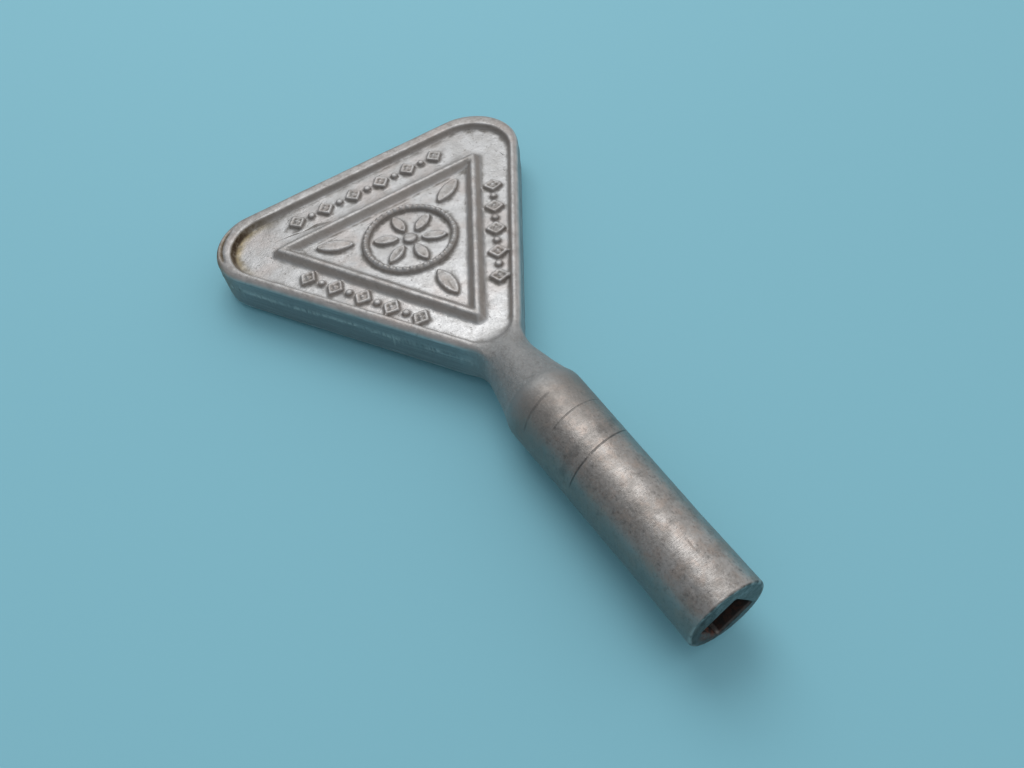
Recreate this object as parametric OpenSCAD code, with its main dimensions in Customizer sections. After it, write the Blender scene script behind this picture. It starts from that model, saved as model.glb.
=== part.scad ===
// Winding key for small clockwork: a cast bow with its neck, fitted to a steel barrel
// The origin is the centre of the square hole's mouth, +X runs to the bow and +Z is square to the bow

/* [Barrel] */
// Outside diameter of the barrel along its straight nose
barrel_d = 8; // [7.4:0.1:9]
// Outside diameter of the barrel just before its shoulder
shoulder_d = 8.7; // [8:0.1:9.8]
// Length of the barrel, from its mouth to the bow's neck
barrel_l = 28.1; // [22:0.1:36]
// Length of the straight nose, measured from the mouth
nose_l = 8; // [4:0.5:20]
// Edge radius round the mouth
mouth_r = 0.2; // [0.1:0.05:0.6]
// Radius of the soft edge that leads from the shoulder down to the neck
shoulder_r = 2.6; // [1:0.1:4]

/* [Square hole] */
// Width of the square hole across its flats
square_w = 4.2; // [3.2:0.1:4.8]
// Corner radius of the square hole
square_r = 0.3; // [0.1:0.05:0.6]
// Turn of the square's first corner from the plane of the bow, in degrees
square_turn = 12; // [0:1:45]
// Chamfer round the outer end of the square hole
lead_in = 0.1; // [0.05:0.05:0.4]
// How far the hole's centre lies below the barrel's axis
hole_drop = 0.6; // [0:0.05:0.8]

/* [Spigot] */
// Length of the square spigot that the bow sinks into the barrel
spigot_l = 8; // [4:0.5:14]
// Gap between the spigot's flats and the walls of the square hole
spigot_fit = 0.02; // [0.01:0.01:0.05]

/* [Neck] */
// Diameter of the neck where it seats on the barrel
seat_d = 7.8; // [6.8:0.1:7.9]
// Diameter of the neck at its waist
waist_d = 5.4; // [4.6:0.1:6.2]
// Length of the neck, from the barrel to the bow
neck_l = 6.8; // [5:0.1:12]
// Depth to which the neck's side is hollowed between those two diameters
neck_hollow = 0.04; // [0:0.02:0.3]
// Length over which the bow's flat faces run out into the neck
run_out_l = 1.4; // [0.8:0.1:2.4]
// Slope of that run-out to the key's axis, in degrees
run_out_angle = 60; // [45:1:75]

/* [Bow] */
// Length of the bow, from the neck to its far edge
bow_l = 35.6; // [34.5:0.1:42]
// Width of the bow over its two far corners
bow_w = 40.2; // [38:0.1:44]
// Thickness of the bow over its rims
bow_t = 5.4; // [4.6:0.1:6.4]
// Radius of the two far corners, seen from above
corner_r = 6.1; // [5:0.1:8]
// Radius along the outer edges
edge_r = 0.8; // [0.3:0.05:1.4]

/* [Recess] */
// Depth of the recess in each face
recess_depth = 0.85; // [0.4:0.05:1.4]
// Width of the rim along each slanted side
side_rim_w = 0.95; // [0.9:0.05:1.6]
// Width of the rim along the far edge
base_rim_w = 1.8; // [1.2:0.05:2.6]
// Radius of the recess in its two far corners
recess_corner_r = 5.2; // [3:0.1:7]
// Radius of the recess at its narrow end
recess_nose_r = 3.3; // [2:0.1:4]
// How far the recess wall leans in between the rim and the floor
recess_lean = 0.35; // [0.1:0.05:0.6]

/* [Rib] */
// Side of the raised triangle, measured along the crest of its rib
rib_side = 26.3; // [20:0.1:26.6]
// Distance from the bow's far edge to the crest of the nearest rib
rib_gap = 8.3; // [7.8:0.1:10]
// Width of the rib at its foot
rib_w = 1.9; // [1.2:0.1:2.4]
// Height of the rib above the recess floor
rib_h = 0.85; // [0.4:0.05:1.2]
// Width of the rib over its crest
crest_w = 0.6; // [0.5:0.05:0.9]
// Radius along the two edges of that crest
crest_r = 0.15; // [0.1:0.05:0.25]

/* [Ornament] */
// Height of the raised ornament above the recess floor
relief_h = 0.55; // [0.3:0.05:0.8]
// Size of a lozenge across its band
lozenge_h = 2.5; // [1.6:0.1:2.6]
// Size of a lozenge along its band
lozenge_w = 2.2; // [1.4:0.1:2.6]
// Distance from one lozenge to the next
lozenge_pitch = 3.8; // [3.6:0.1:4]
// Radius of the pellet between two lozenges
pellet_r = 0.42; // [0.3:0.02:0.5]
// Number of lozenges along each slanted side
side_lozenges = 5; // [3:1:5]
// Number of lozenges along the far edge
far_lozenges = 6; // [3:1:6]
// Radius over the ring round the rosette
ring_r = 5.6; // [5:0.1:6]
// Width of that ring
ring_w = 0.75; // [0.5:0.05:1]
// Radius of the rosette's hub
hub_r = 0.8; // [0.5:0.05:1]
// Number of the rosette's petals
petals = 6; // [5:1:8]
// Width of a petal
petal_w = 1.4; // [0.8:0.05:1.6]
// Gap at each end of a petal
petal_gap = 0.45; // [0.3:0.05:0.7]
// Length of the leaf in each corner of the raised triangle
leaf_l = 4.6; // [3:0.1:4.8]
// Width of that leaf
leaf_w = 1.8; // [1:0.1:2]

/* [Hidden] */
$fn = 96;

bow_colour = [0.74, 0.74, 0.73];
barrel_colour = [0.52, 0.49, 0.45];

// Steps round the bow's hulled corners, on each rounded edge, along the neck's curve, round a pellet
// and on each edge of the rib's crest
hull_steps = 56;
arc_steps = 6;
neck_steps = 12;
pellet_steps = 32;
crest_steps = 3;
// How far a cutter runs past the face it opens
over = 0.5;
// How far a form's root runs into the metal it grows from
root = 0.5;
// Least drop of the barrel's end below its shoulder
least_drop = 0.1;

// Places along the key
nose_x = barrel_l + neck_l;
far_x = nose_x + bow_l;
run_out_x = nose_x - run_out_l;

// Slant of the bow's sides: the tangent from the neck's waist to the far corner's circle
corner_reach = [far_x - corner_r - nose_x, bow_w / 2 - corner_r - waist_d / 2];
side_angle = atan2(corner_reach.y, corner_reach.x) + asin(corner_r / norm(corner_reach));
// Point on the axis where the two slanted sides would meet
meet_x = nose_x - waist_d / 2 / tan(side_angle);

floor_z = bow_t / 2 - recess_depth;

// Raised triangle: its centre, and the distance from there to the crest of a rib
crest_in = rib_side / 2 / sqrt(3);
rib_x = far_x - rib_gap - crest_in;
// Centre of a rounded edge of the crest from the rib's middle, and how far a flank's normal rises
crest_centre = [crest_w / 2 - crest_r, rib_h - crest_r];
flank_reach = [rib_w / 2 - crest_centre.x, crest_centre.y];
flank_a = acos(crest_r / norm(flank_reach)) - atan2(flank_reach.y, flank_reach.x);

// How far the barrel's end drops from the shoulder to the neck's seat, and the sweep of the edge there
shoulder_drop = max(least_drop, (shoulder_d - seat_d) / 2);
shoulder_sweep = acos(1 - shoulder_drop / shoulder_r);

// Middle of the floor between rib and recess wall: along the far edge, and beside a slanted rib
far_band_x = far_x - (base_rim_w + recess_lean + rib_gap - rib_w / 2) / 2;
rib_middle = [rib_x - crest_in / 2, crest_in * sqrt(3) / 2];
wall_gap = (rib_middle.x - meet_x) * sin(side_angle) - rib_middle.y * cos(side_angle)
    - side_rim_w - recess_lean;
side_band_out = crest_in + (rib_w / 2 + wall_gap) / 2;
side_band_turn = (side_angle - 30) / 2;

// Centre of a circle that stands `side` inside the slanted side and `base` inside the far edge
function far_centre(r, side, base) =
    let (x = far_x - base - r)
    [x, (x - meet_x) * tan(side_angle) - (side + r) / cos(side_angle), 0];

// Centre of a circle on the axis that stands `side` inside both slanted sides
function nose_centre(r, side) = [meet_x + (side + r) / sin(side_angle), 0, 0];

// Points along an arc
function arc(centre, r, from, to, steps = arc_steps) =
    [for (i = [0:steps]) let (a = from + (to - from) * i / steps)
        centre + r * [cos(a), sin(a)]];

// Puts a form on the key's axis, which runs above the hole's centre
module on_axis()
    translate([0, 0, hole_drop])
        children();

// Turns a profile of [radius, place along the key] about the key's axis
module turned()
    rotate([0, 90, 0])
        rotate_extrude()
            children();

// Extrudes a cross-section along the key from x = 0
module along(length)
    rotate([90, 0, 90])
        linear_extrude(length)
            children();

// Cross-section of the square hole, or of what fits it with a gap all round
module square_section(gap = 0) {
    flat = square_w - 2 * gap;
    core = square_w - 2 * square_r;
    rotate(square_turn - 45) {
        square([flat, core], center = true);
        square([core, flat], center = true);
        for (x = [-1, 1], y = [-1, 1])
            translate([x, y] * core / 2)
                circle(square_r - gap);
    }
}

// Flat-topped disc with rounded edges, as thick as the bow
module edge_disc(r) {
    flat_r = r - edge_r;
    flat_z = bow_t / 2 - edge_r;
    rotate_extrude($fn = hull_steps)
        polygon(concat(
            [[0, -bow_t / 2]],
            arc([flat_r, -flat_z], edge_r, -90, 0),
            arc([flat_r, flat_z], edge_r, 0, 90),
            [[0, bow_t / 2]]));
}

// Rounded triangular plate, with a short tongue of the neck's width at its narrow end
module plate() {
    far = far_centre(corner_r, 0, 0);
    nose = nose_centre(waist_d / 2, 0);
    hull() {
        for (y = [-1, 1])
            translate([far.x, y * far.y, 0])
                edge_disc(corner_r);
        translate(nose)
            edge_disc(waist_d / 2);
    }
    hull()
        for (x = [run_out_x, nose.x])
            translate([x, 0, 0])
                edge_disc(waist_d / 2);
}

// Space that the plate may fill: it runs out into the round neck along a cone
module run_out() {
    reach = bow_w;
    turned()
        polygon([
            [0, run_out_x],
            [waist_d / 2, run_out_x],
            [reach, run_out_x + (reach - waist_d / 2) / tan(run_out_angle)],
            [reach, far_x + over],
            [0, far_x + over]]);
}

// Round neck that narrows from its seat on the barrel to the waist, then runs into the bow
module neck() {
    end_x = nose_x + waist_d / 2;
    turned()
        polygon(concat(
            [[0, barrel_l]],
            [for (i = [0:neck_steps])
                let (t = i / neck_steps, straight_r = seat_d / 2 + t * (waist_d - seat_d) / 2)
                [straight_r - 4 * neck_hollow * t * (1 - t), barrel_l + t * neck_l]],
            [[waist_d / 2, end_x], [0, end_x]]));
}

// Square spigot that fills the far end of the barrel's hole
module spigot()
    translate([barrel_l - spigot_l, 0, 0])
        along(spigot_l + root)
            square_section(spigot_fit);

// Cutter for the recess in the upper face
module recess() {
    far = far_centre(recess_corner_r, side_rim_w, base_rim_w);
    nose = nose_centre(recess_nose_r, side_rim_w);
    lean_over = recess_lean * over / recess_depth;
    spots = [
        [nose, recess_nose_r],
        [far, recess_corner_r],
        [[far.x, -far.y, 0], recess_corner_r]];
    translate([0, 0, floor_z])
        hull()
            for (spot = spots)
                translate(spot[0])
                    cylinder(
                        h = recess_depth + over,
                        r1 = spot[1] - recess_lean,
                        r2 = spot[1] + lean_over,
                        $fn = hull_steps);
}

// Cross-section of the rib, with its foot at the recess floor and its root below it
module rib_section()
    polygon(concat(
        [[-rib_w / 2, 0], [-rib_w / 2, -root], [rib_w / 2, -root], [rib_w / 2, 0]],
        arc(crest_centre, crest_r, flank_a, 90, crest_steps),
        arc([-crest_centre.x, crest_centre.y], crest_r, 90, 180 - flank_a, crest_steps)));

// Cutter that slopes off a corner of the raised triangle as steeply as the rib's flanks
module corner_cut() {
    low = -2 * root;
    high = rib_h + over;
    out = 3 * rib_w;
    rotate([90, 0, 0])
        linear_extrude(2 * out, center = true)
            polygon([
                [rib_w / 2 - low * tan(flank_a), low],
                [out, low],
                [out, high],
                [rib_w / 2 - high * tan(flank_a), high]]);
}

// Raised triangle of three ribs, mitred where they meet, with its outer corners sloped off
module rib() {
    wedge = crest_in + rib_w;
    translate([rib_x, 0, floor_z])
        difference() {
            for (turn = [0, 120, 240])
                rotate(turn)
                    intersection() {
                        translate([crest_in, 0, 0])
                            rotate([90, 0, 0])
                                linear_extrude(2 * rib_side, center = true)
                                    rib_section();
                        translate([0, 0, -root])
                            linear_extrude(rib_h + root)
                                polygon([[0, 0], wedge * [1, sqrt(3)], wedge * [1, -sqrt(3)]]);
                    }
            for (corner = [60, 180, 300])
                rotate(corner)
                    translate([2 * crest_in, 0, 0])
                        corner_cut();
        }
}

// Row of lozenges along +X with a pellet between each two, seen from above
module band(count) {
    for (i = [0:count - 1])
        translate([(i - (count - 1) / 2) * lozenge_pitch, 0])
            polygon([[lozenge_w, 0] / 2, [0, lozenge_h] / 2, [-lozenge_w, 0] / 2, [0, -lozenge_h] / 2]);
    for (i = [1:count - 1])
        translate([(i - count / 2) * lozenge_pitch, 0])
            circle(pellet_r, $fn = pellet_steps);
}

// Pointed leaf between two arcs, lying along +X from the origin, seen from above
module leaf(length, width) {
    r = (length ^ 2 + width ^ 2) / 4 / width;
    intersection() {
        translate([length / 2, r - width / 2])
            circle(r);
        translate([length / 2, width / 2 - r])
            circle(r);
    }
}

// Rosette in a ring, with a leaf towards each corner of the raised triangle, seen from above
module rosette() {
    circle(hub_r);
    difference() {
        circle(ring_r);
        circle(ring_r - ring_w);
    }
    for (i = [0:petals - 1])
        rotate(i * 360 / petals)
            translate([hub_r + petal_gap, 0])
                leaf(ring_r - ring_w - hub_r - 2 * petal_gap, petal_w);
    for (corner = [60, 180, 300])
        rotate(corner)
            translate([ring_r + 2 * petal_gap, 0])
                leaf(leaf_l, leaf_w);
}

// Ornament raised from the floor of the upper face
module ornament()
    translate([0, 0, floor_z - root])
        linear_extrude(root + relief_h) {
            translate([far_band_x, 0])
                rotate(90)
                    band(far_lozenges);
            translate([rib_x, 0]) {
                rosette();
                for (side = [-1, 1])
                    rotate(side * 120)
                        translate([side_band_out, 0])
                            rotate(90 - side * side_band_turn)
                                band(side_lozenges);
            }
        }

// The casting: bow, neck and spigot in one piece
module bow() {
    color(bow_colour) {
        on_axis() {
            difference() {
                union() {
                    intersection() {
                        plate();
                        run_out();
                    }
                    neck();
                }
                for (side = [0, 1])
                    mirror([0, 0, side])
                        recess();
            }
            for (side = [0, 1])
                mirror([0, 0, side])
                    rib();
            ornament();
        }
        spigot();
    }
}

// The steel barrel, with a square hole from end to end
module barrel() {
    shoulder_centre = [shoulder_d / 2 - shoulder_r, barrel_l - shoulder_r * sin(shoulder_sweep)];
    color(barrel_colour)
        difference() {
            on_axis()
                turned()
                    polygon(concat(
                        [[0, 0]],
                        arc([barrel_d / 2 - mouth_r, mouth_r], mouth_r, -90, 0),
                        [[barrel_d / 2, nose_l]],
                        arc(shoulder_centre, shoulder_r, 0, shoulder_sweep),
                        [[0, barrel_l]]));
            translate([-over, 0, 0])
                along(barrel_l + 2 * over)
                    square_section();
            turned()
                polygon([
                    [0, -over],
                    [square_w / 2 + lead_in + over, -over],
                    [square_w / 2, lead_in],
                    [0, lead_in]]);
        }
}

bow();
barrel();
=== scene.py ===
"""Looks of a clockwork winding key: a worn white-metal bow cast with its ornament, on a steel barrel.

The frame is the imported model's: +X runs from the barrel's mouth to the bow, +Z is square to the bow.
Lengths below are in millimetres unless a name says otherwise, and MM turns them into metres. Meshes are
shaped with the key's axis at z = 0, and finish_piece puts them in the frame.
"""

import math

import bmesh
import bpy
import numpy as np
from mathutils import Matrix, Vector, noise


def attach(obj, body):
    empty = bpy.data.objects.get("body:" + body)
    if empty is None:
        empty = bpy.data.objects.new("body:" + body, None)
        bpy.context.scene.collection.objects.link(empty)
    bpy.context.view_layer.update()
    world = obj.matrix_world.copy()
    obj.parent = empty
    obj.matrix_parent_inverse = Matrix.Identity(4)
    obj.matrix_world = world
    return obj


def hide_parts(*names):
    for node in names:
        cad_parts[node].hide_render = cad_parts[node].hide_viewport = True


MM = 0.001
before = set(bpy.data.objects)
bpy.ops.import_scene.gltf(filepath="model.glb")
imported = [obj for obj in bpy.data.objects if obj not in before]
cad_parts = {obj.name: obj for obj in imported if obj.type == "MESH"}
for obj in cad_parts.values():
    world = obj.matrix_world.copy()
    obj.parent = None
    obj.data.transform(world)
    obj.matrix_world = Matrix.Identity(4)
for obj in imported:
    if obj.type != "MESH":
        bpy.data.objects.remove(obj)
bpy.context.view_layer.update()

# The key's axis runs this far above the centre of the square hole, which is the frame's origin
HOLE_DROP = 0.6

# Barrel, as in the CAD model
BARREL_R = 4.0
SHOULDER_R = 4.35
BARREL_L = 28.1
NOSE_L = 8.0
MOUTH_EDGE = 0.2
SHOULDER_EDGE = 2.6
SEAT_R = 3.9
SQUARE_W = 4.2
SQUARE_CORNER = 0.3
LEAD_IN = 0.1
# Angle from +Y of a corner of the square, in degrees. A flat faces 45 degrees before it
CORNER_TURN = 12
SQUARE_TURN = math.radians(CORNER_TURN - 45)

# Bow, as in the CAD model
BOW_T = 5.4
FLOOR_Z = 1.85
FAR_X = 70.5
NOSE_X = 34.9
CORNER_R = 6.1
# A slanted side is the line y * cos(SIDE_ANGLE) - x * sin(SIDE_ANGLE) = SIDE_LINE
SIDE_ANGLE = 32.1
SIDE_LINE = -16.26
# Centre of the recess's rounded corner towards +Y, and its radius at the recess floor
RECESS_CORNER = (63.5, 13.38)
RECESS_FOOT_R = 4.85
# Centre of the raised triangle and of the rosette in it
RIB_CENTRE_X = 54.61

# Ornament, as in the CAD model
RELIEF = 0.55
LOZENGE_H = 2.5
LOZENGE_W = 2.2
LOZENGE_PITCH = 3.8
SIDE_LOZENGES = 5
FAR_LOZENGES = 6
# Middle of the band along the far edge, and of a slanted one as a distance from the triangle's centre
FAR_BAND_X = 65.75
SIDE_BAND_OUT = 10.02
RING_MIDDLE_R = 5.22
PETALS = 6
PETAL_FROM = 1.25
PETAL_TO = 4.4
LEAF_FROM = 6.5
LEAF_TO = 11.1
LEAF_DIRECTIONS = (60, 180, 300)

# Fine carving of the ornament
BEAD_R = 0.36
BEAD_RISE = 0.05
RING_BEAD_R = 0.3
RING_BEAD_SINK = 0.04
RING_BEADS = 42
SUNK = 0.34
VEIN_DEPTH = 0.26
VEIN_WIDTH = 0.2

# Casting surface
CAST_VOXEL = 0.152
CAST_TRIANGLES = 196000
SOFTENING = 2
NECK_SOFTENING = 40
FOLD_DEPTH = 0.24
PARTING_HEIGHT = 0.07
PARTING_WIDTH = 0.22

# Angle about the barrel's axis, from +Y, of its lit top, in degrees; painted shade darkens away from it
TOP_ANGLE = 89


# Meshes


def new_object(name, mesh):
    """Puts a mesh into the scene under a name."""
    made = bpy.data.objects.new(name, mesh)
    bpy.context.scene.collection.objects.link(made)
    return made


def drop_object(gone):
    """Takes a helper object and its mesh out of the file."""
    mesh = gone.data
    bpy.data.objects.remove(gone)
    bpy.data.meshes.remove(mesh)


def evaluated_mesh(source):
    """The object's mesh with its modifiers applied, as a plain mesh."""
    depsgraph = bpy.context.evaluated_depsgraph_get()
    return bpy.data.meshes.new_from_object(source.evaluated_get(depsgraph), depsgraph=depsgraph)


def joined(name, meshes):
    """One mesh from several, each left as a closed shell of its own."""
    build = bmesh.new()
    for mesh in meshes:
        build.from_mesh(mesh)
        bpy.data.meshes.remove(mesh)
    mesh = bpy.data.meshes.new(name)
    build.to_mesh(mesh)
    build.free()
    return mesh


def outward(mesh):
    """Turns every face of a closed mesh outwards."""
    build = bmesh.new()
    build.from_mesh(mesh)
    bmesh.ops.recalc_face_normals(build, faces=build.faces)
    build.to_mesh(mesh)
    build.free()


def remeshed(mesh, voxel):
    """One closed skin over every shell in the mesh, as molten metal would leave it."""
    helper = new_object("remesh_helper", mesh)
    skin = helper.modifiers.new("skin", "REMESH")
    skin.mode = "VOXEL"
    skin.voxel_size = voxel
    skin.adaptivity = 0
    result = evaluated_mesh(helper)
    drop_object(helper)
    return result


def thinned(mesh, triangles):
    """The mesh with its flattest stretches thinned to a number of triangles."""
    helper = new_object("thin_helper", mesh)
    ratio = triangles / (2 * len(mesh.polygons))
    if ratio < 1:
        thin = helper.modifiers.new("thin", "DECIMATE")
        thin.ratio = ratio
    result = evaluated_mesh(helper)
    drop_object(helper)
    return result


def points_of(mesh):
    """The mesh's points as an array."""
    flat = np.empty(len(mesh.vertices) * 3)
    mesh.vertices.foreach_get("co", flat)
    return flat.reshape(-1, 3)


def edges_of(mesh):
    """The mesh's edges as an array of point pairs."""
    flat = np.empty(len(mesh.edges) * 2, dtype=np.int32)
    mesh.edges.foreach_get("vertices", flat)
    return flat.reshape(-1, 2)


def normals_of(mesh):
    """The mesh's point normals as an array."""
    flat = np.empty(len(mesh.vertices) * 3)
    mesh.vertex_normals.foreach_get("vector", flat)
    return flat.reshape(-1, 3)


def set_points(mesh, points):
    """Writes an array of points back into the mesh."""
    mesh.vertices.foreach_set("co", points.ravel())
    mesh.update()


def add_attribute(mesh, name, values):
    """Stores one number for each point, for the material to read."""
    mesh.attributes.new(name, "FLOAT", "POINT").data.foreach_set("value", values.astype(np.float32))


def neighbour_mean(values, edges, count):
    """For each point, the mean of its neighbours' values."""
    a, b = edges[:, 0], edges[:, 1]
    links = np.bincount(a, minlength=count) + np.bincount(b, minlength=count)
    links = np.maximum(links, 1)
    total = np.empty_like(values)
    for k in range(values.shape[1]):
        total[:, k] = np.bincount(a, weights=values[b, k], minlength=count)
        total[:, k] += np.bincount(b, weights=values[a, k], minlength=count)
    return total / links[:, None]


def softened(points, edges, rounds, weight=1.0):
    """Rounds off edges and fills corners a little, as a worn casting has them."""
    step = 0.5
    for _ in range(rounds):
        points = points + step * weight * (neighbour_mean(points, edges, len(points)) - points)
    return points


def smooth_step(value, low, high):
    """0 below low, 1 above high, and an even climb between them."""
    t = np.clip((value - low) / (high - low), 0, 1)
    return t * t * (3 - 2 * t)


def waviness(points, size, seed):
    """A slow random swell over the surface, between -1 and 1."""
    offset = Vector((seed * 7.3, seed * 3.1, seed * 5.7))
    return np.array([noise.noise(Vector(p) / size + offset) for p in points])


def hollow_measure(points, normals, edges, rounds):
    """Positive in hollows, negative on crests, in millimetres."""
    smooth = softened(points, edges, rounds)
    return ((smooth - points) * normals).sum(axis=1)


# Fine carving


def bead_tree():
    """Geometry Nodes that put a round bead on every point of a mesh."""
    tree = bpy.data.node_groups.new("beads", "GeometryNodeTree")
    ends = tree.interface
    ends.new_socket("Places", in_out="INPUT", socket_type="NodeSocketGeometry")
    ends.new_socket("Radius", in_out="INPUT", socket_type="NodeSocketFloat")
    ends.new_socket("Metal", in_out="INPUT", socket_type="NodeSocketMaterial")
    ends.new_socket("Beads", in_out="OUTPUT", socket_type="NodeSocketGeometry")
    nodes, links = tree.nodes, tree.links
    given = nodes.new("NodeGroupInput")
    bead = nodes.new("GeometryNodeMeshIcoSphere")
    place = nodes.new("GeometryNodeInstanceOnPoints")
    real = nodes.new("GeometryNodeRealizeInstances")
    coat = nodes.new("GeometryNodeSetMaterial")
    result = nodes.new("NodeGroupOutput")
    bead.inputs["Subdivisions"].default_value = 3
    links.new(given.outputs["Places"], place.inputs["Points"])
    links.new(given.outputs["Radius"], bead.inputs["Radius"])
    links.new(bead.outputs["Mesh"], place.inputs["Instance"])
    links.new(place.outputs["Instances"], real.inputs["Geometry"])
    links.new(real.outputs["Geometry"], coat.inputs["Geometry"])
    links.new(given.outputs["Metal"], coat.inputs["Material"])
    links.new(coat.outputs["Geometry"], result.inputs["Beads"])
    return tree


def beads(tree, metal, places, r):
    """Mesh of beads at a list of places."""
    points = bpy.data.meshes.new("bead_places")
    points.from_pydata(places, [], [])
    helper = new_object("bead_helper", points)
    repeat = helper.modifiers.new("beads", "NODES")
    repeat.node_group = tree
    sockets = {s.name: s.identifier for s in tree.interface.items_tree if s.in_out == "INPUT"}
    repeat[sockets["Radius"]] = r
    repeat[sockets["Metal"]] = metal
    mesh = evaluated_mesh(helper)
    drop_object(helper)
    return mesh


def turned_point(along, across, degrees):
    """A point on the bow, given along and across a direction from the raised triangle's centre."""
    a = math.radians(degrees)
    return (
        RIB_CENTRE_X + along * math.cos(a) - across * math.sin(a),
        along * math.sin(a) + across * math.cos(a),
    )


def lozenge_places():
    """Middle and direction in degrees of every lozenge of the three bands."""
    places = []
    for i in range(FAR_LOZENGES):
        places.append((FAR_BAND_X, (i - (FAR_LOZENGES - 1) / 2) * LOZENGE_PITCH, 90))
    lean = (SIDE_ANGLE - 30) / 2
    for side in (1, -1):
        for i in range(SIDE_LOZENGES):
            step = (i - (SIDE_LOZENGES - 1) / 2) * LOZENGE_PITCH
            slant = math.radians(side * lean)
            out = SIDE_BAND_OUT + step * math.sin(slant)
            x, y = turned_point(out, step * math.cos(slant), side * 120)
            places.append((x, y, side * (30 + lean)))
    return places


def bead_meshes(metal):
    """Beads in the lozenges and round the rosette's ring."""
    tree = bead_tree()
    bead_z = FLOOR_Z + RELIEF - SUNK + BEAD_RISE
    ring_z = FLOOR_Z + RELIEF - RING_BEAD_SINK
    in_lozenges = [(x, y, bead_z) for x, y, _ in lozenge_places()]
    round_ring = []
    for i in range(RING_BEADS):
        x, y = turned_point(RING_MIDDLE_R, 0, 360 * i / RING_BEADS)
        round_ring.append((x, y, ring_z))
    made = [beads(tree, metal, in_lozenges, BEAD_R), beads(tree, metal, round_ring, RING_BEAD_R)]
    bpy.data.node_groups.remove(tree)
    return made


def sunk_fields(x, y):
    """Depth cut inside every lozenge, round its bead."""
    cut = np.zeros(len(x))
    for middle_x, middle_y, degrees in lozenge_places():
        c, s = math.cos(math.radians(degrees)), math.sin(math.radians(degrees))
        along = (x - middle_x) * c + (y - middle_y) * s
        across = (y - middle_y) * c - (x - middle_x) * s
        edge = np.abs(along) / (LOZENGE_W / 2) + np.abs(across) / (LOZENGE_H / 2)
        field = 1 - smooth_step(edge, 0.45, 0.65)
        off_bead = smooth_step(np.hypot(along, across), 0.8 * BEAD_R, 1.2 * BEAD_R)
        cut += SUNK * field * off_bead
    return cut


def veins(x, y):
    """Depth cut along the middle of every petal and leaf."""
    fade_from, fade_to = 0.2, 0.8
    lines = [(PETAL_FROM, PETAL_TO, 360 * i / PETALS) for i in range(PETALS)]
    lines += [(LEAF_FROM, LEAF_TO, degrees) for degrees in LEAF_DIRECTIONS]
    cut = np.zeros(len(x))
    for start, end, degrees in lines:
        c, s = math.cos(math.radians(degrees)), math.sin(math.radians(degrees))
        along = (x - RIB_CENTRE_X) * c + y * s
        across = y * c - (x - RIB_CENTRE_X) * s
        begun = smooth_step(along, start + fade_from, start + fade_to)
        not_over = 1 - smooth_step(along, end - fade_to, end - fade_from)
        cut += VEIN_DEPTH * begun * not_over * np.exp(-(across / VEIN_WIDTH) ** 2)
    return cut


def carved(points):
    """Cuts the ornament's tops: a sunk field in every lozenge, a vein in every petal and leaf."""
    x, y, z = points.T
    top = smooth_step(z, FLOOR_Z + 0.5 * RELIEF, FLOOR_Z + 0.9 * RELIEF)
    cut = (sunk_fields(x, y) + veins(x, y)) * top
    return points - np.outer(cut, (0, 0, 1))


# The casting


def cad_copy(node):
    """The CAD node's own mesh in millimetres about the key's axis, with its doubles merged."""
    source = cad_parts[node]
    build = bmesh.new()
    build.from_mesh(source.data)
    build.transform(source.matrix_world)
    build.transform(Matrix.Translation((0, 0, -HOLE_DROP)) @ Matrix.Scale(1 / MM, 4))
    merge_gap = 0.002
    bmesh.ops.remove_doubles(build, verts=build.verts, dist=merge_gap)
    mesh = bpy.data.meshes.new(node + "_copy")
    build.to_mesh(mesh)
    build.free()
    return mesh


def seat_collar():
    """Cast metal that runs a little way over the barrel's shoulder, so that the neck flows out of it."""
    columns = 96
    profile = [
        # x, radius
        (BARREL_L - 0.9, 4.0),
        (BARREL_L - 0.65, 4.215),
        (BARREL_L - 0.3, 4.1),
        (BARREL_L, 3.985),
        (BARREL_L + 0.4, 3.875),
        (BARREL_L + 0.8, 3.78),
        (BARREL_L + 1.3, 3.66),
    ]
    points, faces = [], []
    for x, r in profile:
        for j in range(columns):
            a = 2 * math.pi * j / columns
            points.append((x, r * math.cos(a), r * math.sin(a)))
    for i in range(len(profile) - 1):
        here, there = i * columns, (i + 1) * columns
        for j in range(columns):
            m = (j + 1) % columns
            faces.append((here + j, there + j, there + m, here + m))
    last = (len(profile) - 1) * columns
    faces.append(tuple(range(columns)))
    faces.append(tuple(last + j for j in reversed(range(columns))))
    mesh = bpy.data.meshes.new("seat_collar")
    mesh.from_pydata(points, [], faces)
    outward(mesh)
    return mesh


def neck_weight(points):
    """How strongly each point is softened: most where the flat bow runs into the round neck."""
    x, y = points[:, 0], np.abs(points[:, 1])
    off_barrel = smooth_step(x, BARREL_L + 2.4, BARREL_L + 4.4)
    off_bow = 1 - smooth_step(x, NOSE_X, NOSE_X + 2.2)
    near_axis = 1 - smooth_step(y, 5, 7)
    return (off_barrel * off_bow * near_axis)[:, None]


def parting_line(points, half_width):
    """1 on the line where the two halves of the mould met round the side walls, 0 away from it."""
    middle_z, wander = 0.5, 0.15
    x, y, z = points.T
    middle = middle_z + wander * np.sin(0.31 * x + 0.2 * y) * np.cos(0.23 * y)
    return np.exp(-((z - middle) / half_width) ** 2)


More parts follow.
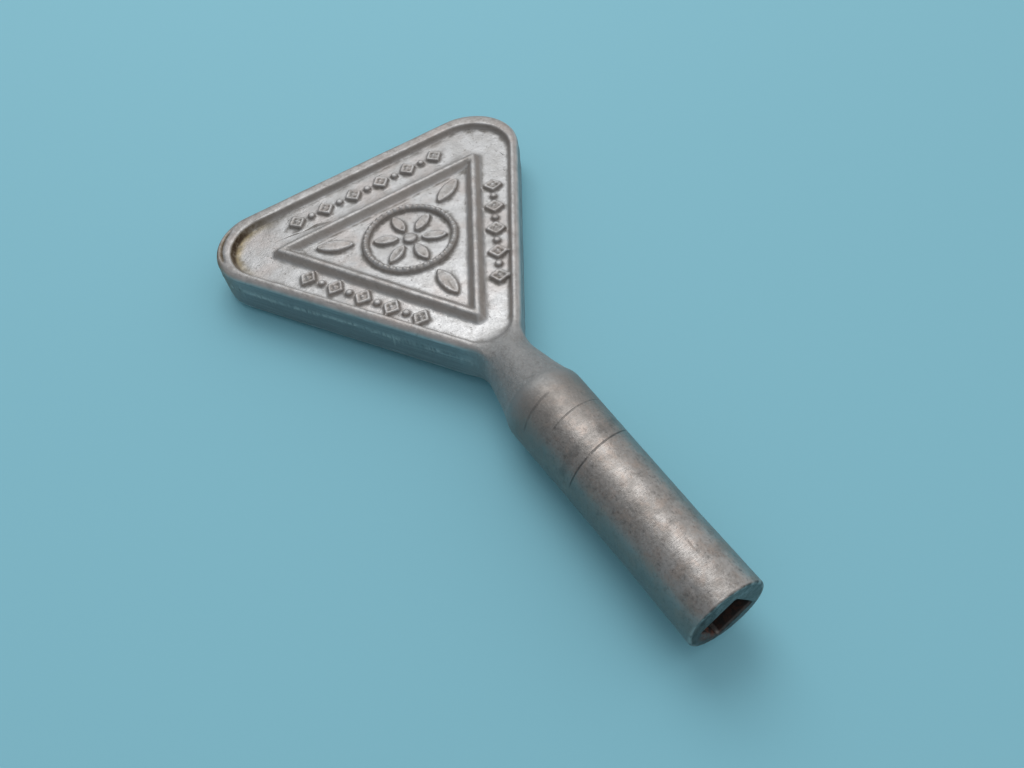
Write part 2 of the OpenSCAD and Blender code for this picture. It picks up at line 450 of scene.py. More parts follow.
def outer_side(points):
    """1 near the bow's outer sides, 0 on its faces and on the neck."""
    c, s = math.cos(math.radians(SIDE_ANGLE)), math.sin(math.radians(SIDE_ANGLE))
    x, y = points[:, 0], np.abs(points[:, 1])
    corner_x = FAR_X - CORNER_R
    corner_y = (SIDE_LINE - CORNER_R + corner_x * s) / c
    past_x, past_y = x - corner_x, y - corner_y
    straight = np.maximum(y * c - x * s - SIDE_LINE, x - FAR_X)
    rounded = np.hypot(past_x, past_y) - CORNER_R
    in_corner = (past_y > 0) & (past_x * c + past_y * s > 0)
    depth = np.where(in_corner, rounded, straight)
    return smooth_step(depth, -0.7, -0.3) * smooth_step(x, NOSE_X - 2, NOSE_X + 3)


def outward_wall(normals):
    """1 on the upright side walls, 0 on the faces."""
    return smooth_step(1 - np.abs(normals[:, 2]), 0.7, 0.95)


def rounded_edge(normals):
    """1 along the rounded edge between a face and a side wall, 0 on both."""
    rise = np.abs(normals[:, 2])
    return smooth_step(rise, 0.2, 0.5) * (1 - smooth_step(rise, 0.8, 0.97))


def inner_flank(points, normals):
    """1 on the slanted sides of ribs, ornament and recess, 0 on faces, outer sides and neck."""
    steep = 1 - smooth_step(np.abs(normals[:, 2]), 0.6, 0.9)
    off_neck = smooth_step(points[:, 0], NOSE_X + 1.5, NOSE_X + 2.5)
    off_middle = smooth_step(np.abs(points[:, 2]), 1.6, 1.8)
    return steep * (1 - outer_side(points)) * off_neck * off_middle


def corner_fold(points):
    """Depth share of the short fold in the rim of the upper face, at the far corner towards +Y."""
    centre, fold_r, half_width = (64.4, 14.0), 5.35, 0.18
    x, y, z = points.T
    r = np.hypot(x - centre[0], y - centre[1])
    a = np.degrees(np.arctan2(y - centre[1], x - centre[0]))
    along = smooth_step(a, 22, 40) * (1 - smooth_step(a, 78, 96))
    return np.exp(-((r - fold_r) / half_width) ** 2) * along * smooth_step(z, 1.6, 2.2)


def cast_unevenness(points, normals):
    """How far the mould and the years have moved each point out of true, in millimetres."""
    x = points[:, 0]
    ridge = PARTING_HEIGHT * parting_line(points, PARTING_WIDTH) * outward_wall(normals)
    push = ridge * smooth_step(x, NOSE_X, NOSE_X + 1.5)
    push += 0.03 * waviness(points, 5.0, 1) + 0.015 * waviness(points, 1.3, 2)
    push -= FOLD_DEPTH * corner_fold(points)
    return push * smooth_step(x, BARREL_L + 0.5, BARREL_L + 1.5)


def mark_casting(mesh, edges):
    """Stores what the white metal reads: hollows, side walls, parting line, rounded edges, flanks."""
    points, normals = points_of(mesh), normals_of(mesh)
    sides = outer_side(points)
    wall = outward_wall(normals) * sides
    add_attribute(mesh, "hollow", hollow_measure(points, normals, edges, 8))
    add_attribute(mesh, "broad_hollow", hollow_measure(points, normals, edges, 40))
    add_attribute(mesh, "wall", wall)
    add_attribute(mesh, "parting", wall * parting_line(points, 0.8 * PARTING_WIDTH))
    add_attribute(mesh, "brow", sides * rounded_edge(normals))
    add_attribute(mesh, "flank", inner_flank(points, normals))


def cast_bow(metal):
    """The bow, neck and spigot with their ornament, as one softened casting."""
    raw = joined("bow_raw", [cad_copy("bow"), seat_collar(), *bead_meshes(metal)])
    mesh = thinned(remeshed(raw, CAST_VOXEL), CAST_TRIANGLES)
    edges = edges_of(mesh)
    points = softened(carved(points_of(mesh)), edges, SOFTENING)
    points = softened(points, edges, NECK_SOFTENING, neck_weight(points))
    set_points(mesh, points)
    normals = normals_of(mesh)
    set_points(mesh, points + normals * cast_unevenness(points, normals)[:, None])
    mark_casting(mesh, edges)
    return mesh


# The barrel


def square_reach(angle):
    """Distance from the axis to the wall of the square hole, at an angle about the axis."""
    half = SQUARE_W / 2
    core = half - SQUARE_CORNER
    part = (angle - SQUARE_TURN) % (math.pi / 2)
    part = min(part, math.pi / 2 - part)
    if half * math.tan(part) <= core:
        return half / math.cos(part)
    off_corner = math.pi / 4 - part
    corner = core * math.sqrt(2)
    across = corner * math.sin(off_corner)
    return corner * math.cos(off_corner) + math.sqrt(SQUARE_CORNER ** 2 - across ** 2)


def even_steps(low, high, count):
    """Numbers from low to high in even steps, without the first."""
    return [low + (high - low) * i / count for i in range(1, count + 1)]


def barrel_rows():
    """Rows of the barrel's skin, from the hole's mouth over the outside and back, as (share, radius, x).

    A row lies on the hole's wall where its share is 1 and on a circle about the axis where it is 0.
    """
    row_gap, edge_steps, face_steps, hole_steps = 0.22, 8, 10, 70
    mouth_r = BARREL_R - MOUTH_EDGE
    sweep = math.acos(1 - (SHOULDER_R - SEAT_R) / SHOULDER_EDGE)
    shoulder_x = BARREL_L - SHOULDER_EDGE * math.sin(sweep)
    taper_l = shoulder_x - NOSE_L
    rows = [(1 - i / face_steps, mouth_r, 0.0) for i in range(face_steps)]
    for a in [0] + even_steps(0, math.pi / 2, edge_steps):
        rows.append((0, mouth_r + MOUTH_EDGE * math.sin(a), MOUTH_EDGE * (1 - math.cos(a))))
    for x in even_steps(MOUTH_EDGE, NOSE_L, int(NOSE_L / row_gap)):
        rows.append((0, BARREL_R, x))
    for x in even_steps(NOSE_L, shoulder_x, int(taper_l / row_gap)):
        rows.append((0, BARREL_R + (SHOULDER_R - BARREL_R) * (x - NOSE_L) / taper_l, x))
    for a in even_steps(0, sweep, edge_steps):
        x = shoulder_x + SHOULDER_EDGE * math.sin(a)
        rows.append((0, SHOULDER_R - SHOULDER_EDGE * (1 - math.cos(a)), x))
    rows += [(share, SEAT_R, BARREL_L) for share in even_steps(0, 1, face_steps)]
    rows += [(1, SEAT_R, x) for x in even_steps(BARREL_L, LEAD_IN, hole_steps)]
    return rows


def turned_barrel():
    """The barrel as one closed skin of rings, from its mouth round the outside and back inside."""
    columns = 288
    rows = barrel_rows()
    angles = [2 * math.pi * j / columns for j in range(columns)]
    hole = [square_reach(a) for a in angles]
    points, faces = [], []
    for share, radius, x in rows:
        lead = LEAD_IN if x == 0 else 0
        for a, wall in zip(angles, hole):
            r = (1 - share) * radius + share * (wall + lead)
            points.append((x, r * math.cos(a), r * math.sin(a) - share * HOLE_DROP))
    for i in range(len(rows)):
        here, there = i * columns, (i + 1) % len(rows) * columns
        for j in range(columns):
            m = (j + 1) % columns
            faces.append((here + j, here + m, there + m, there + j))
    mesh = bpy.data.meshes.new("key_barrel")
    mesh.from_pydata(points, [], faces)
    outward(mesh)
    wear_barrel(mesh)
    return mesh


def wear_barrel(mesh):
    """Slight unevenness of the barrel, and the nicks that years of use left on it."""
    nicks = [
        # x, angle in degrees, length along the barrel, width, depth
        (10.9, 65, 0.35, 0.1, 0.03),
        (5.3, 95, 0.4, 0.12, 0.06),
        (2.2, 60, 0.4, 0.3, 0.05),
        (24.9, 30, 0.3, 0.5, 0.06),
        (21.4, 24, 0.3, 0.5, 0.06),
        (0.3, 118, 0.3, 0.5, 0.06),
        (0.1, 22, 0.5, 1.6, 0.16),
        (0.2, 82, 0.25, 0.4, 0.06),
    ]
    points, normals = points_of(mesh), normals_of(mesh)
    outside = smooth_step(np.hypot(points[:, 1], points[:, 2]), 3.2, 3.6)
    angle = np.arctan2(points[:, 2], points[:, 1])
    push = 0.018 * waviness(points, 4.0, 3) + 0.008 * waviness(points, 0.9, 4)
    for x, degrees, length, width, depth in nicks:
        across = (angle - math.radians(degrees)) * BARREL_R
        push -= depth * np.exp(-((points[:, 0] - x) / length) ** 2 - (across / width) ** 2)
    set_points(mesh, points + normals * (push * outside)[:, None])


# Making a material


class Finish:
    """A material being built: a call adds a node or a few and returns the result.

    Places, sizes and depths are in millimetres. paint() lays one more colour over the colour so far.
    """

    def __init__(self, name, colour):
        self.material = bpy.data.materials.new(name)
        self.material.use_nodes = True
        self.tree = self.material.node_tree
        self.shader = self.tree.nodes["Principled BSDF"]
        self.place = self.tree.nodes.new("ShaderNodeTexCoord").outputs["Object"]
        self.colour = colour

    def put(self, socket, value):
        """Links a result to a socket, or sets the socket to a plain value."""
        if isinstance(value, bpy.types.NodeSocket):
            self.tree.links.new(value, socket)
        else:
            socket.default_value = value

    def math(self, kind, a, b=0.0, clamp=False):
        """One sum on one or two numbers."""
        node = self.tree.nodes.new("ShaderNodeMath")
        node.operation = kind
        node.use_clamp = clamp
        self.put(node.inputs[0], a)
        self.put(node.inputs[1], b)
        return node.outputs["Value"]

    def plus(self, total, *others):
        """Sum of numbers."""
        for other in others:
            total = self.math("ADD", total, other)
        return total

    def minus(self, a, b):
        """The first number less the second."""
        return self.math("SUBTRACT", a, b)

    def times(self, total, *others):
        """Product of numbers."""
        for other in others:
            total = self.math("MULTIPLY", total, other)
        return total

    def distance(self, a, b):
        """Length of a line that runs a one way and b square to it."""
        return self.math("SQRT", self.plus(self.math("POWER", a, 2), self.math("POWER", b, 2)))

    def climb(self, value, start, end, at_start=0.0, at_end=1.0):
        """A smooth climb from one level to another while a value goes from start to end."""
        node = self.tree.nodes.new("ShaderNodeMapRange")
        node.interpolation_type = "SMOOTHSTEP"
        self.put(node.inputs["Value"], value)
        node.inputs["From Min"].default_value = start
        node.inputs["From Max"].default_value = end
        node.inputs["To Min"].default_value = at_start
        node.inputs["To Max"].default_value = at_end
        return node.outputs["Result"]

    def noise(self, size, detail=4, roughness=0.55, squeeze=None):
        """Cloudy pattern with features of about a size, longer along an axis squeezed below 1."""
        node = self.tree.nodes.new("ShaderNodeTexNoise")
        place = self.place
        if squeeze:
            mapping = self.tree.nodes.new("ShaderNodeMapping")
            self.put(mapping.inputs["Vector"], self.place)
            mapping.inputs["Scale"].default_value = squeeze
            place = mapping.outputs["Vector"]
        self.put(node.inputs["Vector"], place)
        node.inputs["Scale"].default_value = 1 / (size * MM)
        node.inputs["Detail"].default_value = detail
        node.inputs["Roughness"].default_value = roughness
        return node.outputs["Fac"]

    def patches(self, size, edge, share=(0, 1), detail=5, roughness=0.55):
        """Cloudy patches of about a size, with the share outside and inside their soft edge."""
        return self.climb(self.noise(size, detail, roughness), *edge, *share)

    def blend(self, share, under, over):
        """One colour going over to another with a share."""
        node = self.tree.nodes.new("ShaderNodeMix")
        node.data_type = "RGBA"
        self.put(node.inputs["Factor"], share)
        for name, colour in (("A", under), ("B", over)):
            socket = next(s for s in node.inputs if s.name == name and s.type == "RGBA")
            self.put(socket, colour if isinstance(colour, bpy.types.NodeSocket) else (*colour, 1))
        return next(s for s in node.outputs if s.type == "RGBA")

    def paint(self, colour, *shares):
        """Lays a colour over the one so far, as strongly as the product of the shares."""
        self.colour = self.blend(self.times(*shares), self.colour, colour)

    def attribute(self, name):
        """A number stored on the mesh's points."""
        node = self.tree.nodes.new("ShaderNodeAttribute")
        node.attribute_name = name
        return node.outputs["Fac"]

    def axes(self):
        """The three object coordinates."""
        node = self.tree.nodes.new("ShaderNodeSeparateXYZ")
        self.put(node.inputs[0], self.place)
        return [self.math("DIVIDE", node.outputs[axis], MM) for axis in "XYZ"]

    def near(self, spot, reach):
        """1 round a spot, falling to 0 at a distance from it."""
        node = self.tree.nodes.new("ShaderNodeVectorMath")
        node.operation = "DISTANCE"
        self.put(node.inputs[0], self.place)
        node.inputs[1].default_value = [v * MM for v in spot]
        return self.climb(node.outputs["Value"], reach * MM, 0.2 * reach * MM)

    def bump(self, height, depth, below=None):
        """Normal that follows a height pattern of a depth, over the normal below it."""
        node = self.tree.nodes.new("ShaderNodeBump")
        node.inputs["Strength"].default_value = 1.0
        node.inputs["Distance"].default_value = depth * MM
        self.put(node.inputs["Height"], height)
        if below is not None:
            self.put(node.inputs["Normal"], below)
        return node.outputs["Normal"]

    def finished(self, roughness, metallic, normal):
        """Links everything to the shader and returns the material."""
        self.put(self.shader.inputs["Base Color"], self.colour)
        self.put(self.shader.inputs["Roughness"], roughness)
        self.put(self.shader.inputs["Metallic"], metallic)
        self.put(self.shader.inputs["Normal"], normal)
        return self.material


# White metal of the casting

POLISH_AND_HIGHLIGHT = (0.64, 0.64, 0.64)
BRIGHT = (0.58, 0.58, 0.58)
BROW_PINK = (0.62, 0.565, 0.54)
SOIL = (0.14, 0.12, 0.095)


def satin_floor(metal):
    """Cloudy satin metal of the recess floors. Returns where their narrow end has a painted highlight."""
    dull = (0.395, 0.388, 0.38)
    narrow_end, reach = (42, 2, FLOOR_Z), 12
    metal.paint(dull, metal.patches(2.0, (0.38, 0.62), detail=6, roughness=0.66))
    metal.paint(BRIGHT, metal.climb(metal.attribute("broad_hollow"), -0.01, 0.06, 0, 0.2))
    # Painted highlight: the floors' narrow end, towards the neck, painted bright in broken patches
    broken = metal.patches(0.9, (0.36, 0.64), (0.1, 0.7), detail=6, roughness=0.7)
    painted_highlight = metal.times(metal.near(narrow_end, reach), broken)
    metal.paint(POLISH_AND_HIGHLIGHT, painted_highlight)
    return painted_highlight


def handled_metal(metal, height):
    """Rims, ribs and ornament, darker and browner than the floors. Returns where they are."""
    handled, tarnished, warm = (0.41, 0.392, 0.375), (0.28, 0.258, 0.24), (0.42, 0.36, 0.33)
    above_floor = metal.climb(height, FLOOR_Z + 0.2, FLOOR_Z + 0.45)
    raised = metal.times(above_floor, metal.patches(1.5, (0.28, 0.6), (1.0, 0.7)))
    mottled = metal.patches(1.1, (0.40, 0.62), detail=6, roughness=0.7)
    metal.paint(metal.blend(mottled, handled, tarnished), raised)
    metal.paint(warm, metal.patches(5.0, (0.46, 0.64), (0, 0.4), detail=3))
    return raised


def cast_grain(metal, grain):
    """Fine bright grain all over, and small dark pits. Returns where the pits are."""
    pit_grey = (0.27, 0.25, 0.23)
    metal.paint(BRIGHT, metal.climb(grain, 0.5, 0.74, 0, 0.5))
    pits = metal.patches(0.4, (0.36, 0.28), (0, 0.5), detail=3, roughness=0.5)
    metal.paint(pit_grey, pits)
    return pits


def flanks_and_crests(metal, flank, hollow):
    """Slanted sides dull and with painted shade, and crests worn bright in places, partly a painted
    highlight.
    """
    flank_grey_and_shade = (0.45, 0.405, 0.37)
    # Painted shade over duller metal: the slanted sides darker and browner
    metal.paint(flank_grey_and_shade, flank, 0.65)
    # Crests worn bright in patches, partly a painted highlight
    crest = metal.climb(hollow, -0.012, -0.05)
    metal.paint(POLISH_AND_HIGHLIGHT, crest, metal.patches(1.2, (0.38, 0.62), (0.1, 0.5), detail=4))


def neck_metal(metal, x):
    """Plain grey neck with grime and a few bright specks. Returns where it is."""
    neck_grey = (0.37, 0.372, 0.37)
    before_bow = metal.climb(x, NOSE_X + 2.2, NOSE_X - 0.6)
    neck = metal.times(before_bow, metal.patches(1.8, (0.25, 0.7), (0.8, 1.0)))
    metal.paint(neck_grey, neck)
    metal.paint(SOIL, neck, metal.patches(0.7, (0.44, 0.7), (0, 0.36), detail=6, roughness=0.75))
    metal.paint(BRIGHT, neck, metal.patches(0.3, (0.62, 0.7), (0, 0.6), detail=3, roughness=0.6))
    return neck


def side_walls(metal):
    """Dull side walls with painted shade, streaks, scratches and a parting line, under a handled rounded
    edge.
    """
    wall_grey_and_shade = (0.27, 0.27, 0.275)
    wall = metal.attribute("wall")
    streaks = metal.noise(0.17, 4, 0.55, squeeze=(0.018, 0.018, 1))
    scratches = metal.noise(0.3, 2, 0.4, squeeze=(0.03, 0.03, 1))
    brow = metal.attribute("brow")
    metal.paint(BROW_PINK, brow, metal.patches(1.6, (0.3, 0.65), (0.4, 1.0), detail=4))
    # Painted shade over dull metal: the side walls darkened, a little less along the streaks
    metal.paint(wall_grey_and_shade, wall, metal.climb(streaks, 0.40, 0.74, 1.0, 0.65))
    metal.paint(BRIGHT, wall, metal.climb(scratches, 0.66, 0.74, 0, 0.6))
    line = metal.attribute("parting")
    metal.paint(BROW_PINK, line, metal.patches(2.5, (0.4, 0.6), (0.3, 1.0), detail=3))


def grime_in_corners(metal, hollow):
    """Dirt in the inner corners. Returns where it lies."""
    corner = metal.climb(hollow, 0.012, 0.07)
    grime = metal.times(corner, metal.patches(1.1, (0.32, 0.62), (0.15, 0.65)))
    metal.paint(SOIL, grime)
    return grime


def corner_stain(metal, x, y, height):
    """Brown stain at the foot of the recess wall in one far corner, with a yellow fringe on the floor.

    Returns where the brown is.
    """
    yellow, brown = (0.42, 0.34, 0.19), (0.06, 0.035, 0.02)
    spot, reach = (66.3, 16.8, FLOOR_Z), 6.4
    stained = metal.times(metal.near(spot, reach), metal.patches(0.8, (0.3, 0.6), (0.4, 1.0)))
    out = metal.distance(metal.minus(x, RECESS_CORNER[0]), metal.minus(y, RECESS_CORNER[1]))
    below_rim = metal.climb(height, BOW_T / 2 - 0.02, BOW_T / 2 - 0.3)
    fringe = metal.climb(out, RECESS_FOOT_R - 1.3, RECESS_FOOT_R - 0.2, 0, 0.8)
    foot = metal.climb(out, RECESS_FOOT_R - 0.35, RECESS_FOOT_R + 0.05, 0, 0.95)
    metal.paint(yellow, stained, fringe, below_rim)
    stained_brown = metal.times(stained, foot, below_rim)
    metal.paint(brown, stained_brown)
    return stained_brown


def white_metal():
    """Zinc casting: satin floors, handled raised metal, dull flanks, walls and neck, with painted
    highlights and shade.
    """
    plain = (0.50, 0.50, 0.50)
    metal = Finish("white_metal", plain)
    x, y, z = metal.axes()
    height = metal.math("ABSOLUTE", metal.minus(z, HOLE_DROP))
    hollow, flank = metal.attribute("hollow"), metal.attribute("flank")
    grain = metal.noise(0.26, 4, 0.65)
    painted_highlight = satin_floor(metal)
    raised = handled_metal(metal, height)
    pits = cast_grain(metal, grain)
    flanks_and_crests(metal, flank, hollow)
    neck = neck_metal(metal, x)
    side_walls(metal)
    dirt = grime_in_corners(metal, hollow)
    dirt = metal.math("MAXIMUM", dirt, corner_stain(metal, x, y, height))
    rough = metal.climb(grain, 0.3, 0.75, 0.40, 0.54)
    rough = metal.minus(rough, metal.times(painted_highlight, 0.1))
    rough = metal.plus(rough, metal.times(raised, 0.08), metal.times(flank, 0.1))
    rough = metal.plus(rough, metal.times(neck, 0.14))
    rough = metal.math("ADD", rough, metal.times(dirt, 0.3), clamp=True)
    metallic = metal.minus(0.92, metal.times(dirt, 0.6))
    relief = metal.bump(metal.noise(1.1, 3, 0.5), 0.06)
    relief = metal.bump(grain, 0.03, relief)
    relief = metal.bump(pits, -0.03, relief)
    relief = metal.bump(metal.times(neck, metal.noise(0.4, 5, 0.75)), 0.12, relief)
    return metal.finished(rough, metallic, relief)


# Steel of the barrel

PATINA_AND_SHADE = (0.29, 0.265, 0.245)
RUBBED_STEEL_AND_HIGHLIGHT = (0.47, 0.445, 0.425)
DARK_STEEL = (0.11, 0.105, 0.10)


def mottled_patina(steel, x, clouds, fine, brushed):
    """Brown-grey patina, mottled light and dark, paler towards the mouth with wear and a painted
    highlight.
    """
    rosy = (0.42, 0.345, 0.30)
    # Paler towards the mouth: partly wear, partly a painted highlight
    towards_mouth = steel.climb(x, 26, 2, 0.15, 0.8)
    steel.paint(RUBBED_STEEL_AND_HIGHLIGHT, towards_mouth, steel.climb(clouds, 0.62, 0.38, 0.2, 1.25))
    steel.paint(rosy, steel.patches(1.2, (0.46, 0.66), (0, 0.6), roughness=0.65))
    steel.paint(DARK_STEEL, steel.patches(0.8, (0.52, 0.74), (0, 0.6), roughness=0.7))
    steel.paint(DARK_STEEL, steel.patches(0.35, (0.58, 0.72), (0, 0.4), detail=4, roughness=0.6))
    steel.paint(RUBBED_STEEL_AND_HIGHLIGHT, steel.climb(fine, 0.5, 0.70, 0, 0.55))
    steel.paint(RUBBED_STEEL_AND_HIGHLIGHT, steel.climb(brushed, 0.54, 0.74, 0, 0.35))
    steel.paint(DARK_STEEL, steel.climb(fine, 0.46, 0.30, 0, 0.45))


def shaded_sides(steel, angle, clouds):
    """Painted shade down both sides of the barrel, away from its lit top."""
    shade = (0.16, 0.15, 0.145)
    off_top = steel.math("ABSOLUTE", steel.minus(angle, TOP_ANGLE))
    # Painted shade: the barrel darker down its sides, away from the lit top
    steel.paint(shade, steel.climb(off_top, 32, 75), steel.climb(clouds, 0.35, 0.65, 0.8, 0.45))


def neck_end(steel, x):
    """Neck end: duller and with painted shade, then as grey as the casting. Returns where darker and
    where grey.
    """
    neck_grey = (0.33, 0.33, 0.325)
    # Painted shade with duller patina: the barrel darker towards its neck end
    dull = steel.climb(x, 19, 25.5)
    steel.paint(PATINA_AND_SHADE, dull, 0.5)
    ragged_x = steel.plus(x, steel.times(steel.noise(1.6, 5, 0.6), 3.4))
    grey = steel.climb(ragged_x, 26.6, 29.2)
    steel.paint(neck_grey, grey)
    return dull, grey


def scored_line(steel, x, angle, middle, slant, bend, width, reach):
    """A scratch round the barrel: its middle's x, how far it slants and bends along it, its two ends."""
    half_length, fade = 54, 8
    turn = steel.math("DIVIDE", steel.minus(angle, TOP_ANGLE), half_length)
    line = steel.plus(steel.times(turn, slant), steel.times(turn, turn, bend), middle)
    off = steel.math("ABSOLUTE", steel.minus(x, line))
    begun = steel.climb(angle, reach[0], reach[0] + fade)
    not_over = steel.climb(angle, reach[1], reach[1] - fade)
    return steel.times(steel.climb(off, width, 0.3 * width), begun, not_over)


def scored_lines(steel, x, angle):
    """Three scored lines, and a dark smudge beside the longest. Returns where the lines are."""
    longest = scored_line(steel, x, angle, 17.5, 0.62, 0.18, 0.13, (15, 150))
    faint = scored_line(steel, x, angle, 22.1, 0.55, 0.02, 0.11, (55, 150))
    short = scored_line(steel, x, angle, 25.2, 0.59, 0.0, 0.2, (20, 88))
    smudge = scored_line(steel, x, angle, 18.8, 0.62, 0.18, 0.7, (18, 150))
    lines = steel.math("MAXIMUM", longest, steel.times(faint, 0.7))
    lines = steel.math("MAXIMUM", lines, steel.times(short, 0.6))
    lines = steel.times(lines, steel.patches(1.0, (0.3, 0.55), (0.35, 1.0), detail=4))
    steel.paint(DARK_STEEL, lines, 0.85)
    steel.paint(DARK_STEEL, smudge, steel.patches(0.9, (0.35, 0.6), (0.1, 0.38), detail=4))
    return lines


def end_face(steel, x, from_axis):
    """End face darkened with painted shade, and a worn rim."""
    painted_end_shade = (0.07, 0.066, 0.062)
    on_face = steel.climb(x, 0.25, 0.05)
    # Painted shade: the end face painted nearly black
    steel.paint(painted_end_shade, on_face, steel.patches(0.7, (0.35, 0.65), (1.0, 0.65)))
    rim = steel.times(steel.climb(from_axis, 3.6, 3.85), steel.climb(x, 0.45, 0.1))
    steel.paint(RUBBED_STEEL_AND_HIGHLIGHT, rim, steel.patches(0.8, (0.4, 0.6), (0.1, 0.8)))


def rusty_hole(steel, x, from_hole, from_axis):
    """Rust in the hole, reddest in a corner, creeping onto the end face; painted shade deeper in. Returns
    the rust.
    """
    rust, dark_rust_and_shade = (0.17, 0.055, 0.03), (0.02, 0.016, 0.014)
    reddest, reach = (0.2, 1.9, -1.0), 2.6
    red_corner = steel.near(reddest, reach)
    round_mouth = steel.times(steel.climb(from_hole, 3.3, 2.4), steel.climb(x, 0.6, 0.2))
    creeping = steel.times(round_mouth, red_corner, steel.patches(0.8, (0.4, 0.6), (0.1, 0.8)))
    steel.paint(rust, creeping)
    red = steel.times(steel.climb(red_corner, 0, 0.6, 0.25, 1.0), steel.patches(0.6, (0.42, 0.62)))
    wall_colour = steel.blend(red, dark_rust_and_shade, rust)
    # Painted shade over dark rust: the hole's wall darker deeper in
    wall_colour = steel.blend(steel.climb(x, 0.8, 4, 0, 0.85), wall_colour, dark_rust_and_shade)
    inside = steel.times(steel.climb(from_axis, 3.45, 3.3), steel.climb(x, 0.03, 0.3))
    steel.paint(wall_colour, inside)
    return steel.math("MAXIMUM", inside, creeping)


def barrel_steel():
    """Old mild steel: mottled brown-grey patina, worn paler towards the mouth, rust in the hole; painted
    highlight and shade.
    """
    steel = Finish("barrel_steel", PATINA_AND_SHADE)
    x, y, z = steel.axes()
    z_from_axis = steel.minus(z, HOLE_DROP)
    from_axis = steel.distance(y, z_from_axis)
    angle = steel.math("DEGREES", steel.math("ARCTAN2", z_from_axis, y))
    clouds = steel.noise(2.2, 6, 0.68)
    brushed = steel.noise(0.2, 4, 0.6, squeeze=(1, 0.16, 0.16))
    fine = steel.noise(0.24, 5, 0.7)
    mottled_patina(steel, x, clouds, fine, brushed)
    shaded_sides(steel, angle, clouds)
    dull, grey = neck_end(steel, x)
    lines = scored_lines(steel, x, angle)
    end_face(steel, x, from_axis)
    rust = rusty_hole(steel, x, steel.distance(y, z), from_axis)
    rough = steel.climb(clouds, 0.35, 0.65, 0.36, 0.48)
    rough = steel.plus(rough, steel.climb(fine, 0.4, 0.7, -0.06, 0.06))
    rough = steel.plus(rough, steel.times(dull, 0.13), steel.times(grey, 0.06))
    rough = steel.math("ADD", rough, steel.times(rust, 0.5), clamp=True)
    metallic = steel.minus(0.92, steel.times(rust, 0.9))
    relief = steel.bump(steel.noise(1.4, 4, 0.5), 0.04)
    relief = steel.bump(brushed, 0.022, relief)
    relief = steel.bump(fine, 0.024, relief)
    relief = steel.bump(lines, -0.03, relief)
    return steel.finished(rough, metallic, relief)


# The stage


def pale_blue():
    """Matt pale blue of the sheet under the key."""
    paper = bpy.data.materials.new("pale_sheet")
    paper.use_nodes = True
    shader = paper.node_tree.nodes["Principled BSDF"]
    shader.inputs["Base Color"].default_value = (0.28, 0.64, 0.76, 1)
    shader.inputs["Roughness"].default_value = 0.7
    return paper


def floor_plane():
    """Round sheet under the key, which stands on the barrel's shoulder and the bow's far edge."""
    reach, sides = 2500, 96
    shoulder_x, far_edge_x = BARREL_L - 1.5, FAR_X - 0.8
    slope = (SHOULDER_R - BOW_T / 2) / (far_edge_x - shoulder_x)
    outline = []
    for i in range(sides):
        a = 2 * math.pi * i / sides
        x, y = reach * math.cos(a), reach * math.sin(a)
        outline.append((x, y, HOLE_DROP - SHOULDER_R + slope * (x - shoulder_x)))
    mesh = bpy.data.meshes.new("floor")
    mesh.from_pydata(outline, [], [tuple(range(sides))])
    mesh.transform(Matrix.Scale(MM, 4))
    mesh.materials.append(pale_blue())
    sheet = new_object("floor", mesh)


def window_light():
    """One wide soft lamp high beyond the bow."""
    aim, towards_lamp = Vector((38, 0, 0)), Vector((0.5, -0.2, 0.84))
    reach, size, power = 420, 290, 0.5
    spot = aim + reach * towards_lamp.normalized()
    data = bpy.data.lights.new("window", "AREA")
    data.energy = power
    data.size = size * MM
    lamp = bpy.data.objects.new("window", data)
    lamp.location = spot * MM
    lamp.rotation_euler = (aim - spot).to_track_quat("-Z", "Y").to_euler()
    bpy.context.scene.collection.objects.link(lamp)


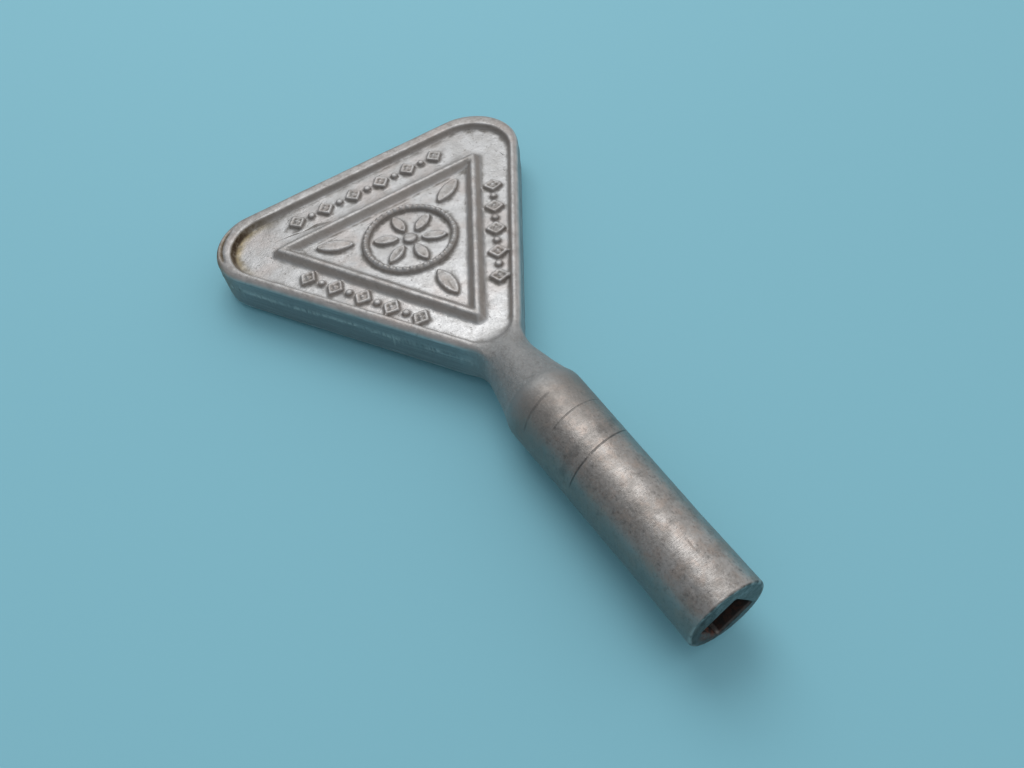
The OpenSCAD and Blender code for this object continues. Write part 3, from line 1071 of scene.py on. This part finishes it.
def pale_sky():
    """Pale sky, brightest high on the key's -Y side."""
    world = bpy.data.worlds.new("pale_sky")
    bpy.context.scene.world = world
    world.use_nodes = True
    nodes, links = world.node_tree.nodes, world.node_tree.links
    place = nodes.new("ShaderNodeTexCoord")
    towards_bright = nodes.new("ShaderNodeVectorMath")
    towards_bright.operation = "DOT_PRODUCT"
    towards_bright.inputs[1].default_value = (0.1, -0.7, 0.7)
    ramp = nodes.new("ShaderNodeValToRGB")
    ramp.color_ramp.elements[0].color = (0.28, 0.30, 0.32, 1)
    ramp.color_ramp.elements[1].color = (0.70, 0.71, 0.72, 1)
    links.new(place.outputs["Generated"], towards_bright.inputs[0])
    links.new(towards_bright.outputs["Value"], ramp.inputs["Fac"])
    links.new(ramp.outputs["Color"], nodes["Background"].inputs["Color"])
    nodes["Background"].inputs["Strength"].default_value = 1.0


def place_camera():
    """Camera at the photograph's place, which was worked out from the key's own outline."""
    spot = Vector((-18.534, 24.213, 70.539 + HOLE_DROP)) * MM
    right = Vector((-0.5372, -0.8367, -0.1062))
    ahead = Vector((0.556, -0.2566, -0.7905))
    focal_pixels, frame_pixels = 875, 1024
    data = bpy.data.cameras.new("camera")
    data.sensor_width = 36.0
    data.lens = focal_pixels / frame_pixels * data.sensor_width
    data.clip_start = 1 * MM
    data.clip_end = 5000 * MM
    camera = bpy.data.objects.new("camera", data)
    turn = Matrix((right, right.cross(ahead), -ahead)).transposed()
    camera.matrix_world = Matrix.Translation(spot) @ turn.to_4x4()
    bpy.context.scene.collection.objects.link(camera)
    bpy.context.scene.camera = camera


def finish_piece(name, mesh, material, node):
    """Puts a finished mesh in the part's frame, in place of its CAD node."""
    mesh.transform(Matrix.Scale(MM, 4) @ Matrix.Translation((0, 0, HOLE_DROP)))
    mesh.name = name
    mesh.materials.clear()
    mesh.materials.append(material)
    mesh.polygons.foreach_set("use_smooth", [True] * len(mesh.polygons))
    piece = new_object(name, mesh)
    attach(piece, "root")
    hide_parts(node)


place_camera()
window_light()
pale_sky()
floor_plane()
casting = white_metal()
finish_piece("key_bow", cast_bow(casting), casting, "bow")
finish_piece("key_barrel", turned_barrel(), barrel_steel(), "barrel")

bpy.context.scene.view_settings.view_transform = "Standard"
